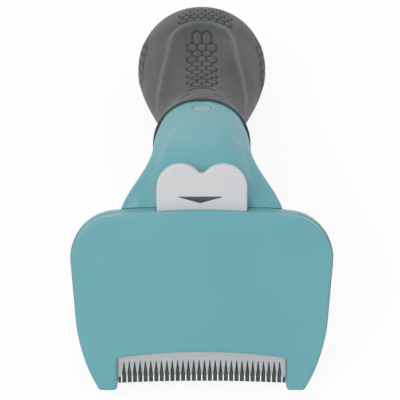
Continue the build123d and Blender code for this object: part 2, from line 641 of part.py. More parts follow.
def make_ejector_slider():
    half = SLIDER_HALF_WIDTH
    body = box(-half, half, SLIDER_BOTTOM, SLIDER_TOP, PLATE_BACK, SLIDER_BACK)
    half = TONGUE_HALF_WIDTH
    body += box(-half, half, SLIDER_BOTTOM, TONGUE_TOP, BUTTON_BACK, BUTTON_BACK + TONGUE_THICKNESS)
    for side in (1, -1):
        pocket = SPRING_RADIUS + SPRING_WIRE / 2 + SPRING_CLEARANCE
        body -= spring_bore(side * SPRING_OFFSET, SLIDER_BOTTOM, SPRING_TOP, pocket)
        x = side * BUTTON_SCREW_OFFSET
        body -= peg(x, BUTTON_SCREW_HEIGHT, BUTTON_BACK, SLIDER_BACK, BUTTON_SCREW_RADIUS + SCREW_FIT)
    rivet_end = PLATE_DEPTH + RIVET_LENGTH + SCREW_FIT
    for x in rivet_places():
        body -= peg(x, rivet_height(), PLATE_BACK, rivet_end, RIVET_RADIUS + SCREW_FIT)
    return body


def make_ejector_button():
    side = BUTTON_HALF_WIDTH
    shoulder = BUTTON_TOP - LOBE_RADIUS
    outline = Pos(0, (BUTTON_BOTTOM + shoulder) / 2) * Rectangle(2 * side, shoulder - BUTTON_BOTTOM)
    outline += [Pos(x, shoulder) * Circle(LOBE_RADIUS) for x in (side - LOBE_RADIUS, LOBE_RADIUS - side)]
    dip = [v for v in outline.vertices() if abs(v.X) < EPS and v.Y > shoulder]
    outline = fillet(dip, LOBE_DIP_RADIUS)
    button = slab(outline, BUTTON_FRONT, BUTTON_BACK)
    button = fillet(button.edges().group_by(Axis.Z)[-1], BUTTON_EDGE_RADIUS)
    screw_end = BUTTON_BACK + TONGUE_THICKNESS - BUTTON_SCREW_LENGTH - SCREW_FIT
    for x in (BUTTON_SCREW_OFFSET, -BUTTON_SCREW_OFFSET):
        button -= peg(x, BUTTON_SCREW_HEIGHT, screw_end, BUTTON_BACK, BUTTON_SCREW_RADIUS + SCREW_FIT)
    return button


def make_button_screws():
    head = BUTTON_SCREW_HEAD_RADIUS, BUTTON_SCREW_HEAD_HEIGHT
    one = Rot(X=180) * screw(BUTTON_SCREW_RADIUS, BUTTON_SCREW_LENGTH, *head)
    depth = BUTTON_BACK + TONGUE_THICKNESS
    return [Pos(x, BUTTON_SCREW_HEIGHT, -depth) * one for x in (BUTTON_SCREW_OFFSET, -BUTTON_SCREW_OFFSET)]


def make_return_spring(side):
    """A return spring from its pad to the top of the slider's pocket."""
    tall = SPRING_TOP - PAD_TOP - SPRING_WIRE
    foot = (side * SPRING_OFFSET, PAD_TOP + SPRING_WIRE / 2, -SPRING_DEPTH)
    start = Plane(origin=foot, x_dir=(1, 0, 0), z_dir=(0, 1, 0))
    path = Helix(pitch=tall / SPRING_TURNS, height=tall, radius=SPRING_RADIUS)
    wire = Plane(origin=path @ 0, z_dir=path % 0) * Circle(SPRING_WIRE / 2)
    return start * sweep(wire, path=path, is_frenet=True)


def make_spring_pin(side):
    return spring_bore(side * SPRING_OFFSET, PAD_TOP - PIN_SEAT, PIN_TOP, PIN_RADIUS)


def make_head_screws():
    head = HEAD_SCREW_HEAD_RADIUS, HEAD_SCREW_HEAD_HEIGHT
    one = Rot(X=180) * screw(HEAD_SCREW_RADIUS, HEAD_SCREW_LENGTH, *head)
    return [Pos(x, y, -head_screw_seat()) * one for x, y in head_screw_places()]


def handle_screws(all_axes):
    return [axes * Pos(0, 0, -HANDLE_SCREW_SEAT) * handle_screw() for axes in all_axes]


# ---------------------------------------------------------------- lying on the table
def resting_tilt():
    """Angle, from the head's depth direction, of the table under the guards' heels and the handle's end."""
    heel = (HEAD_DEPTH - REAR_EDGE_RADIUS, REAR_EDGE_RADIUS)
    up = (-cos(radians(HANDLE_BEND)), sin(radians(HANDLE_BEND)))
    under = []
    for step in range(200):
        distance = GRIP_LENGTH * step / 200
        drop = grip_station(distance, 0).bottom
        depth, height = on_axis(distance)
        under.append((depth - up[0] * drop, height - up[1] * drop))

    def lift(tilt):
        """How far the handle's underside stays above a table that touches the heels."""
        heel_level = -heel[0] * sin(tilt) + heel[1] * cos(tilt) - REAR_EDGE_RADIUS
        return min(-depth * sin(tilt) + height * cos(tilt) for depth, height in under) - heel_level

    low, high = 0.0, radians(80)
    for _ in range(60):
        middle = (low + high) / 2
        if lift(middle) > 0:
            low = middle
        else:
            high = middle
    return low


TILT = resting_tilt()
TO_TABLE = Rot(X=90 - degrees(TILT))


def table_space():
    """All that lies below the table, with the small flats' depth cut off the tool."""
    heel_centre = REAR_EDGE_RADIUS * cos(TILT) - (HEAD_DEPTH - REAR_EDGE_RADIUS) * sin(TILT)
    level = heel_centre - REAR_EDGE_RADIUS + REST_CUT
    return TO_TABLE.inverse() * Pos(0, 0, level - FAR / 2) * Box(FAR * 2, FAR * 3, FAR)


def all_pieces():
    """Every piece of the tool by its node's name, in the head's axes."""
    plastic = plastic_body()
    pieces = {
        "head_front_cover": make_head_front_cover(),
        "rear_shell": make_rear_shell(plastic),
        "neck_top_shell": make_neck_top_shell(plastic),
        "grip_sleeve": make_grip_sleeve(),
        "size_badge": make_size_badge(),
        "comb_blade": make_comb_blade(),
        "blade_clamp_bar": make_blade_clamp_bar(),
        "blade_screws": make_blade_screws(),
        "ejector_plate": make_ejector_plate(),
        "ejector_rivets": make_ejector_rivets(),
        "ejector_slider": make_ejector_slider(),
        "ejector_button": make_ejector_button(),
        "button_screws": make_button_screws(),
        "head_screws": make_head_screws(),
        "neck_screws": handle_screws(neck_screw_axes()),
        "core_screws": handle_screws(core_screw_axes()),
    }
    for name, side in (("left", -1), ("right", 1)):
        pieces[f"return_spring_{name}"] = make_return_spring(side)
        pieces[f"spring_pin_{name}"] = make_spring_pin(side)
    return pieces


def solids_of(piece):
    """The separate solids of a piece, whatever it was built as."""
    shapes = piece if isinstance(piece, list) else [piece]
    return [solid for shape in shapes for solid in shape.solids()]


def main():
    os.makedirs("parts", exist_ok=True)
    laid = {name: [TO_TABLE * solid for solid in solids_of(piece)] for name, piece in all_pieces().items()}
    whole = Compound([solid for solids in laid.values() for solid in solids]).bounding_box()
    home = Pos(0, -(whole.min.Y + whole.max.Y) / 2, -whole.min.Z)
    for name, solids in laid.items():
        placed = [home * solid for solid in solids]
        shape = placed[0] if len(placed) == 1 else Compound(placed)
        shape.label = name
        export_step(shape, f"parts/{name}.step")
    print("table tilt", round(degrees(TILT), 3), "size", whole.size)


main()
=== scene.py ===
import json
import logging
import math
from dataclasses import dataclass, field
from enum import Enum
from typing import Any, Iterable, Sequence

import bpy
import numpy as np
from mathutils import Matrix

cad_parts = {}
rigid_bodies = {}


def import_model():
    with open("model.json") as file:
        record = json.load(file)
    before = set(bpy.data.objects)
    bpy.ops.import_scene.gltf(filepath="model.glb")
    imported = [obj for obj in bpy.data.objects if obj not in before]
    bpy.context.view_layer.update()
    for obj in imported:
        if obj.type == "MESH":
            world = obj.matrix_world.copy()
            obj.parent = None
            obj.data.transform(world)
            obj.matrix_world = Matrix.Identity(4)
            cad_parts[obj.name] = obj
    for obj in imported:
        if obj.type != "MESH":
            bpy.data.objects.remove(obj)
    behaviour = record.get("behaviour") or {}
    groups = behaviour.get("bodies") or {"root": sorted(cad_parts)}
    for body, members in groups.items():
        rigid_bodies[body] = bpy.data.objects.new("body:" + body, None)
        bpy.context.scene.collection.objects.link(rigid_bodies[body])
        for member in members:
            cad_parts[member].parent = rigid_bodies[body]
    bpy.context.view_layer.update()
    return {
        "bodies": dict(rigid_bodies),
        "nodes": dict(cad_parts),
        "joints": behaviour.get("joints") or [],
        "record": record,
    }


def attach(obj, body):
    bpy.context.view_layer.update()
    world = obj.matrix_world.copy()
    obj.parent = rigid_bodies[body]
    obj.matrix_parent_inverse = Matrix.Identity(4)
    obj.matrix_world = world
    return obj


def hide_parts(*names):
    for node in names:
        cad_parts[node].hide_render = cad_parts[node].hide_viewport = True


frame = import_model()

LOG = logging.getLogger("deshedding_tool")
MM = 0.001
Colour = tuple[float, float, float, float]
Place = tuple[float, float, float]


class Direction(Enum):
    """The way a brushed finish runs, in the head's axes."""

    ACROSS = (6.0, 0.12, 0.12)
    ALONG = (0.12, 6.0, 0.12)


class Surface(Enum):
    """The kinds of finish that the tool's pieces have."""

    SHELL = "teal shell plastic"
    BUTTON = "pale button plastic"
    BADGE = "badge plastic"
    SLIDER = "slider plastic"
    PRINT = "arrow print"
    RUBBER = "grip rubber"
    PLATE = "brushed plate steel"
    COMB = "ground comb steel"
    FASTENER = "plated fastener steel"
    SPRING = "drawn spring wire"


def linear(red: float, green: float, blue: float) -> Colour:
    """Turns a colour written in display values into the scene's linear values.

    Args:
        red, green, blue: display values from 0 to 255.

    Returns:
        The linear colour with full opacity.
    """
    values = np.array([red, green, blue]) / 255.0
    flat = np.where(values <= 0.04045, values / 12.92, ((values + 0.055) / 1.055) ** 2.4)
    return (float(flat[0]), float(flat[1]), float(flat[2]), 1.0)


def ease(low: float, high: float, share: np.ndarray) -> np.ndarray:
    """Smooth passage between two values: the cubic 3s^2 - 2s^3 of the share, held at both ends.

    Args:
        low: value where the share is 0 or less.
        high: value where the share is 1 or more.
        share: how far along the passage each point is.

    Returns:
        The value at each point.
    """
    held = np.clip(share, 0.0, 1.0)
    return low + (high - low) * held * held * (3.0 - 2.0 * held)


def squircle(value: np.ndarray, power: np.ndarray) -> np.ndarray:
    """One coordinate of a superellipse from a sine or cosine: its size to the power 2/p, with its sign."""
    return np.sign(value) * np.abs(value) ** (2.0 / power)


def vertices_of(node: bpy.types.Object) -> np.ndarray:
    """Reads a CAD node's vertices.

    Args:
        node: the node's object.

    Returns:
        An array of n by 3, in metres.
    """
    flat = np.empty(len(node.data.vertices) * 3, dtype=np.float32)
    node.data.vertices.foreach_get("co", flat)
    return flat.reshape(-1, 3).astype(float)


@dataclass(frozen=True)
class HeadAxes:
    """The head's own axes in the row frame: across, up from the guard tips, and out of the front face.

    The push button slides straight down the head, so the joint's axis gives the way up. The front cover's
    lowest and foremost points give the place where height and depth are zero.
    """

    up: np.ndarray
    out: np.ndarray
    origin: np.ndarray

    @classmethod
    def of_frame(cls, loaded: dict[str, Any]) -> "HeadAxes":
        """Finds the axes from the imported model.

        Args:
            loaded: what the frame's loader returned.

        Returns:
            The head's axes.
        """
        down = np.array(loaded["record"]["behaviour"]["joints"][0]["axis"], dtype=float)
        up = -down / np.linalg.norm(down)
        out = np.array([0.0, -up[2], up[1]])
        cover = vertices_of(loaded["nodes"]["head_front_cover"])
        origin = up * (cover @ up).min() + out * (cover @ out).max()
        return cls(up, out, origin)

    @property
    def lean(self) -> float:
        """The angle, in radians, by which the head's up direction leans back from the vertical."""
        return math.atan2(self.up[1], self.up[2])

    def to_row(self, points: np.ndarray) -> np.ndarray:
        """Carries points from the head's axes to the row frame.

        Args:
            points: n by 3, in millimetres: across, height, out.

        Returns:
            The same points in the row frame, in metres.
        """
        scaled = np.asarray(points, dtype=float) * MM
        across = np.array([1.0, 0.0, 0.0])
        return (
            self.origin
            + scaled[..., :1] * across
            + scaled[..., 1:2] * self.up
            + scaled[..., 2:3] * self.out
        )


def make_piece(
    name: str,
    points: np.ndarray,
    faces: Sequence[Sequence[int]] | np.ndarray,
    body: str,
    masks: dict[str, np.ndarray] | None = None,
) -> bpy.types.Object:
    """Puts worked-out points and faces into a mesh and lets the piece ride on its body.

    Args:
        name: the piece's name.
        points: n by 3, in the row frame, in metres.
        faces: corner numbers of each face.
        body: the CAD body that carries the piece.
        masks: named values, one per point, that the materials read.

    Returns:
        The new object.
    """
    mesh = bpy.data.meshes.new(name)
    mesh.from_pydata(points.tolist(), [], [list(map(int, face)) for face in faces])
    mesh.polygons.foreach_set("use_smooth", np.ones(len(mesh.polygons), dtype=bool))
    for mask, values in (masks or {}).items():
        layer = mesh.attributes.new(mask, "FLOAT", "POINT")
        layer.data.foreach_set("value", values.astype(np.float32))
    mesh.validate()
    mesh.update()
    piece = bpy.data.objects.new(name, mesh)
    bpy.context.scene.collection.objects.link(piece)
    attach(piece, body)
    return piece


def tube_faces(rings: int, columns: int) -> np.ndarray:
    """Quads between consecutive closed rings.

    Point number r * columns + c is column c of ring r, and the last column joins the first.

    Args:
        rings: number of rings.
        columns: points in each ring.

    Returns:
        An array of four corner numbers per quad.
    """
    ring, column = np.meshgrid(np.arange(rings - 1), np.arange(columns), indexing="ij")
    after = (column + 1) % columns
    here, there = ring * columns, (ring + 1) * columns
    return np.stack([here + column, there + column, there + after, here + after], axis=-1).reshape(-1, 4)


# ---------------------------------------------------------------- materials
class NodeSheet:
    """A small helper that lays out one node tree."""

    def __init__(self, tree: bpy.types.NodeTree) -> None:
        """Keeps the tree that the nodes go into."""
        self.tree = tree

    def add(self, kind: str, inputs: dict[Any, Any] | None = None, **settings: Any) -> bpy.types.Node:
        """Adds a node, sets it up and feeds its inputs.

        Args:
            kind: the node's type, without its ShaderNode prefix.
            inputs: values or output sockets by input name or number.
            settings: properties of the node itself.

        Returns:
            The new node.
        """
        node = self.tree.nodes.new("ShaderNode" + kind)
        for key, value in settings.items():
            setattr(node, key, value)
        for key, value in (inputs or {}).items():
            if isinstance(value, bpy.types.NodeSocket):
                self.tree.links.new(value, node.inputs[key])
            else:
                node.inputs[key].default_value = value
        return node

    def math(self, operation: str, *values: Any, clamp: bool = False) -> bpy.types.NodeSocket:
        """Adds a math node and returns its output."""
        node = self.add("Math", dict(enumerate(values)), operation=operation, use_clamp=clamp)
        return node.outputs[0]

    def spread(
        self, value: Any, low: Any, high: Any, to_low: Any = 0.0, to_high: Any = 1.0
    ) -> bpy.types.NodeSocket:
        """Maps a range of values smoothly onto another and returns the result."""
        inputs = {"Value": value, "From Min": low, "From Max": high, "To Min": to_low, "To Max": to_high}
        return self.add("MapRange", inputs, interpolation_type="SMOOTHSTEP").outputs[0]

    def mix(self, share: Any, first: Any, second: Any, blend: str = "MIX") -> bpy.types.NodeSocket:
        """Mixes two colours and returns the result."""
        node = self.add("Mix", data_type="RGBA", blend_type=blend)
        for socket, value in zip((node.inputs[0], node.inputs[6], node.inputs[7]), (share, first, second)):
            if isinstance(value, bpy.types.NodeSocket):
                self.tree.links.new(value, socket)
            else:
                socket.default_value = value
        return node.outputs[2]

    def noise(self, place: Any, scale: Any, detail: float = 3.0, rough: float = 0.55) -> bpy.types.NodeSocket:
        """Adds a noise and returns its value."""
        inputs = {"Vector": place, "Scale": scale, "Detail": detail, "Roughness": rough}
        return self.add("TexNoise", inputs).outputs[0]

    def group(self, tree: bpy.types.NodeTree, *values: Any) -> Any:
        """Places a node group, gives its first inputs their values and returns its outputs."""
        return self.add("Group", dict(enumerate(values)), node_tree=tree).outputs

    def bump(self, height: bpy.types.NodeSocket, depth: float, normal: Any = None) -> bpy.types.NodeSocket:
        """Turns a height into a normal, on top of another normal if one is given."""
        inputs = {"Height": height, "Distance": depth}
        if normal is not None:
            inputs["Normal"] = normal
        return self.add("Bump", inputs).outputs[0]

    def put_out(self, shader: bpy.types.Node, kind: str = "OutputMaterial") -> None:
        """Links a shader to the tree's output."""
        self.add(kind, {0: shader.outputs[0]})


def new_material(title: str) -> tuple[bpy.types.Material, NodeSheet]:
    """Starts an empty material and the sheet that its nodes go on."""
    material = bpy.data.materials.new(title)
    material.use_nodes = True
    material.node_tree.nodes.clear()
    return material, NodeSheet(material.node_tree)


class EffectGroups:
    """The effects that several finishes share, each a node group that is built once."""

    def __init__(self) -> None:
        """Builds every group."""
        self.grain = self._grain()
        self.tone = self._tone()
        self.wear_and_highlight = self._rubbed()
        self.brushing = self._brushing()
        self.edges = self._edges()

    @staticmethod
    def _open(
        name: str, inputs: Iterable[tuple[str, str, Any]], outputs: Iterable[tuple[str, str]]
    ) -> tuple[bpy.types.NodeTree, NodeSheet, bpy.types.Node, bpy.types.Node]:
        """Starts a node group with its named sockets.

        Args:
            name: the group's name.
            inputs: name, socket type and default of each input.
            outputs: name and socket type of each output.

        Returns:
            The tree, its sheet, and its input and output nodes.
        """
        tree = bpy.data.node_groups.new(name, "ShaderNodeTree")
        for label, kind, default in inputs:
            socket = tree.interface.new_socket(label, in_out="INPUT", socket_type=kind)
            if default is not None:
                socket.default_value = default
        for label, kind in outputs:
            tree.interface.new_socket(label, in_out="OUTPUT", socket_type=kind)
        entry, leave = tree.nodes.new("NodeGroupInput"), tree.nodes.new("NodeGroupOutput")
        return tree, NodeSheet(tree), entry, leave

    def _grain(self) -> bpy.types.NodeTree:
        """Moulded grain: fine pits from a cell pattern, broken up by noise, as a height and a pit mask."""
        tree, sheet, entry, leave = self._open(
            "moulded grain",
            [("Grains per Metre", "NodeSocketFloat", 4000.0), ("Unevenness", "NodeSocketFloat", 0.5)],
            [("Height", "NodeSocketFloat"), ("Pits", "NodeSocketFloat")],
        )
        place = sheet.add("TexCoord").outputs["Object"]
        cells = sheet.add("TexVoronoi", {"Vector": place, "Scale": entry.outputs[0]}, feature="SMOOTH_F1")
        rough = sheet.noise(place, sheet.math("MULTIPLY", entry.outputs[0], 0.35), 4.0, 0.65)
        broken = sheet.math("MULTIPLY", rough, entry.outputs[1])
        height = sheet.math("ADD", cells.outputs["Distance"], broken)
        tree.links.new(height, leave.inputs[0])
        tree.links.new(sheet.spread(height, 0.25, 0.75), leave.inputs[1])
        return tree

    def _tone(self) -> bpy.types.NodeTree:
        """Slow drift of a colour over the piece, with small flecks, as moulded and handled plastic shows."""
        tree, sheet, entry, leave = self._open(
            "tone drift",
            [
                ("Colour", "NodeSocketColor", None),
                ("Drift Colour", "NodeSocketColor", None),
                ("Patches per Metre", "NodeSocketFloat", 60.0),
                ("Fleck Strength", "NodeSocketFloat", 0.1),
            ],
            [("Colour", "NodeSocketColor")],
        )
        place = sheet.add("TexCoord").outputs["Object"]
        patches = sheet.spread(sheet.noise(place, entry.outputs[2], 3.0), 0.3, 0.7)
        flecks = sheet.spread(sheet.noise(place, 2600.0, 2.0), 0.56, 0.74)
        share = sheet.math("ADD", patches, sheet.math("MULTIPLY", flecks, entry.outputs[3]), clamp=True)
        tree.links.new(sheet.mix(share, entry.outputs[0], entry.outputs[1]), leave.inputs[0])
        return tree

    def _rubbed(self) -> bpy.types.NodeTree:
        """Roughness that varies between two values: broad patches of wear and short fine scratches."""
        tree, sheet, entry, leave = self._open(
            "rubbed gloss",
            [("Smooth", "NodeSocketFloat", 0.35), ("Matt", "NodeSocketFloat", 0.5)],
            [("Roughness", "NodeSocketFloat"), ("Scratches", "NodeSocketFloat")],
        )
        place = sheet.add("TexCoord").outputs["Object"]
        patches = sheet.noise(place, 90.0, 4.0, 0.6)
        scratching = {"Vector": place, "Rotation": (0.4, 0.2, 0.7), "Scale": (60.0, 2400.0, 900.0)}
        stretched = sheet.add("Mapping", scratching)
        lines = sheet.spread(sheet.noise(stretched.outputs[0], 1.0, 1.0), 0.70, 0.80)
        level = sheet.math("SUBTRACT", patches, sheet.math("MULTIPLY", lines, 0.35))
        rough = sheet.spread(level, 0.3, 0.7, entry.outputs[0], entry.outputs[1])
        tree.links.new(rough, leave.inputs[0])
        tree.links.new(lines, leave.inputs[1])
        return tree

    def _brushing(self) -> bpy.types.NodeTree:
        """Brushed steel: noise drawn out along the brushing, as a height and a streak mask."""
        tree, sheet, entry, leave = self._open(
            "brushing",
            [("Lean", "NodeSocketVector", None), ("Stretch", "NodeSocketVector", None)],
            [("Height", "NodeSocketFloat"), ("Streaks", "NodeSocketFloat")],
        )
        place = sheet.add("TexCoord").outputs["Object"]
        turned = sheet.add("Mapping", {"Vector": place, "Rotation": entry.outputs[0]}, vector_type="TEXTURE")
        drawing = {"Vector": turned.outputs[0], "Scale": entry.outputs[1]}
        drawn = sheet.add("Mapping", drawing, vector_type="TEXTURE")
        fine = sheet.noise(drawn.outputs[0], 1.0, 3.0, 0.7)
        coarse = sheet.noise(drawn.outputs[0], 0.18, 2.0, 0.6)
        height = sheet.math("ADD", sheet.math("MULTIPLY", fine, 0.7), sheet.math("MULTIPLY", coarse, 0.3))
        tree.links.new(height, leave.inputs[0])
        tree.links.new(sheet.spread(height, 0.35, 0.65), leave.inputs[1])
        return tree

    def _edges(self) -> bpy.types.NodeTree:
        """Softened edges: a rounded normal, and a mask that is 1 where it parts from the true one."""
        tree, sheet, entry, leave = self._open(
            "softened edges",
            [("Radius", "NodeSocketFloat", 0.0002)],
            [("Normal", "NodeSocketVector"), ("Edge", "NodeSocketFloat")],
        )
        rounded = sheet.add("Bevel", {"Radius": entry.outputs[0]}, samples=6).outputs[0]
        true = sheet.add("NewGeometry").outputs["Normal"]
        facing = sheet.add("VectorMath", {0: rounded, 1: true}, operation="DOT_PRODUCT").outputs["Value"]
        tree.links.new(rounded, leave.inputs[0])
        tree.links.new(sheet.spread(facing, 0.995, 0.9, 0.0, 1.0), leave.inputs[1])
        return tree


@dataclass(frozen=True)
class PlasticFinish:
    """A moulded plastic: its two tones, its gloss range, the depth of its grain and the strength of a painted
    highlight on its rounded edges.
    """

    title: Surface
    colour: Colour
    drift: Colour
    smooth: float
    matt: float
    grains: float = 5200.0
    grain_depth: float = 0.000012
    edge_radius: float = 0.00018
    # Strength of the painted highlight: a paler copy of the colour mixed in on the rounded edges, standing in
    # for light caught there.
    edge_highlight_strength: float = 0.25
    patches: float = 45.0
    flecks: float = 0.15

    def build(self, groups: EffectGroups) -> bpy.types.Material:
        """Builds the material.

        Args:
            groups: the shared effects.

        Returns:
            The finished material.
        """
        material, sheet = new_material(self.title.value)
        tone = sheet.group(groups.tone, self.colour, self.drift, self.patches, self.flecks)
        grain = sheet.group(groups.grain, self.grains)
        gloss = sheet.group(groups.wear_and_highlight, self.smooth, self.matt)
        edges = sheet.group(groups.edges, self.edge_radius)
        # Painted highlight: the rounded edges are mixed towards a paler copy of the colour, as if they caught
        # the light.
        pale = tuple(min(1.0, part * 1.35 + 0.05) for part in self.colour[:3]) + (1.0,)
        painted_edge_highlight = sheet.math("MULTIPLY", edges["Edge"], self.edge_highlight_strength)
        colour = sheet.mix(painted_edge_highlight, tone[0], pale)
        bump = sheet.bump(grain["Height"], self.grain_depth, edges["Normal"])
        inputs = {"Base Color": colour, "Roughness": gloss["Roughness"], "Normal": bump, "IOR": 1.46}
        sheet.put_out(sheet.add("BsdfPrincipled", inputs))
        return material


@dataclass(frozen=True)
class RubberFinish:
    """The grip's soft rubber, with painted shade in its sunk pattern, a painted highlight along the thumb
    rest's ridge, darker grain pits and a darker front lip.
    """

    title: Surface = Surface.RUBBER
    colour: Colour = field(default_factory=lambda: linear(87, 90, 91))
    drift: Colour = field(default_factory=lambda: linear(79, 82, 83))
    # Near-black: painted shade in the sunk cells and arcs, and the dark of the grain's pits.
    sunk: Colour = field(default_factory=lambda: linear(20, 22, 23))
    lip: Colour = field(default_factory=lambda: linear(42, 58, 62))
    # Pale colour of the painted highlight along the thumb rest's raised ridge.
    wear_and_highlight: Colour = field(default_factory=lambda: linear(140, 144, 146))
    grains: float = 2000.0
    unevenness: float = 0.9
    grain_depth: float = 0.00014
    patches: float = 70.0
    flecks: float = 0.35
    roughness: tuple[float, float] = (0.52, 0.72)

    def build(self, groups: EffectGroups) -> bpy.types.Material:
        """Builds the material, which reads the skin's own sunk, lip and rim values.

        Args:
            groups: the shared effects.

        Returns:
            The finished material.
        """
        material, sheet = new_material(self.title.value)
        tone = sheet.group(groups.tone, self.colour, self.drift, self.patches, self.flecks)
        grain = sheet.group(groups.grain, self.grains, self.unevenness)
        gloss = sheet.group(groups.wear_and_highlight, *self.roughness)
        sunk, lip, rim = (
            sheet.add("Attribute", attribute_name=mask).outputs["Fac"] for mask in ("sunk", "lip", "rim")
        )
        colour = sheet.mix(sheet.math("MULTIPLY", grain["Pits"], 0.34), tone[0], self.sunk)
        # Painted highlight: the ridge round the thumb rest is lightened where the rim mask lies.
        colour = sheet.mix(sheet.math("MULTIPLY", rim, 0.36), colour, self.wear_and_highlight)
        # Painted shade: the sunk cells and arcs are darkened almost to black, where shade would fall in them.
        colour = sheet.mix(sheet.math("MULTIPLY", sunk, 0.97), colour, self.sunk)
        colour = sheet.mix(lip, colour, self.lip)
        inputs = {
            "Base Color": colour,
            "Roughness": gloss["Roughness"],
            "Normal": sheet.bump(grain["Height"], self.grain_depth),
            "IOR": 1.42,
            "Sheen Weight": 0.12,
            "Sheen Roughness": 0.5,
        }
        sheet.put_out(sheet.add("BsdfPrincipled", inputs))
        return material


@dataclass(frozen=True)
class SteelFinish:
    """A brushed or ground steel: its two tones, the way it is brushed and its gloss."""

    title: Surface
    colour: Colour
    streak: Colour
    direction: Direction
    roughness: tuple[float, float] = (0.26, 0.42)
    depth: float = 0.000006
    edge_radius: float = 0.00006

    def build(self, groups: EffectGroups, lean: float) -> bpy.types.Material:
        """Builds the material.

        Args:
            groups: the shared effects.
            lean: the head's lean in radians, along which the brushing is turned.

        Returns:
            The finished material.
        """
        material, sheet = new_material(self.title.value)
        turn = (math.pi / 2 - lean, 0.0, 0.0)
        brushing = sheet.group(groups.brushing, turn, tuple(value * MM for value in self.direction.value))
        edges = sheet.group(groups.edges, self.edge_radius)
        inputs = {
            "Base Color": sheet.mix(brushing["Streaks"], self.colour, self.streak),
            "Roughness": sheet.spread(brushing["Height"], 0.3, 0.7, *self.roughness),
            "Normal": sheet.bump(brushing["Height"], self.depth, edges["Normal"]),
            "Metallic": 1.0,
        }
        sheet.put_out(sheet.add("BsdfPrincipled", inputs))
        return material


class Finishes:
    """Every finish of the tool, built once."""

    def __init__(self, lean: float) -> None:
        """Builds the materials.

        Args:
            lean: the head's lean in radians, which the brushed steels follow.
        """
        groups = EffectGroups()
        plastics = (
            PlasticFinish(
                Surface.SHELL, linear(105, 166, 174), linear(101, 162, 170), 0.34, 0.46, edge_highlight_strength=0.45
            ),
            PlasticFinish(
                Surface.BUTTON, linear(206, 207, 209), linear(200, 201, 204), 0.30, 0.42, edge_highlight_strength=0.9
            ),
            PlasticFinish(Surface.BADGE, linear(141, 168, 170), linear(135, 162, 164), 0.30, 0.40),
            PlasticFinish(Surface.SLIDER, linear(52, 54, 57), linear(46, 48, 51), 0.40, 0.55),
            PlasticFinish(
                Surface.PRINT, linear(74, 78, 84), linear(68, 72, 78), 0.40, 0.52, grain_depth=0.000004
            ),
        )
        steels = (
            SteelFinish(Surface.PLATE, linear(186, 189, 191), linear(168, 172, 174), Direction.ACROSS),
            # The comb is a darker copy of the plate's steel: painted shade for its teeth, which sit behind
            # the plate's prongs.
            SteelFinish(Surface.COMB, linear(84, 88, 89), linear(70, 74, 76), Direction.ALONG),
            SteelFinish(Surface.FASTENER, linear(176, 176, 178), linear(156, 157, 160), Direction.ACROSS),
            SteelFinish(Surface.SPRING, linear(160, 161, 164), linear(140, 142, 146), Direction.ALONG),
        )
        self.materials = {finish.title: finish.build(groups) for finish in plastics}
        self.materials.update({finish.title: finish.build(groups, lean) for finish in steels})
        self.materials[Surface.RUBBER] = RubberFinish().build(groups)

    def dress(self, target: bpy.types.Object, surface: Surface) -> None:
        """Gives an object one finish in all its material slots."""
        material = self.materials[surface]
        if not target.material_slots:
            target.data.materials.append(material)
        for slot in target.material_slots:
            slot.material = material


# ---------------------------------------------------------------- grip
@dataclass(frozen=True)
class CellRow:
    """One row of the moulded cells: its place along the handle, its number of cells, and their pitch."""

    along: float
    count: int
    pitch: float
    tall: float


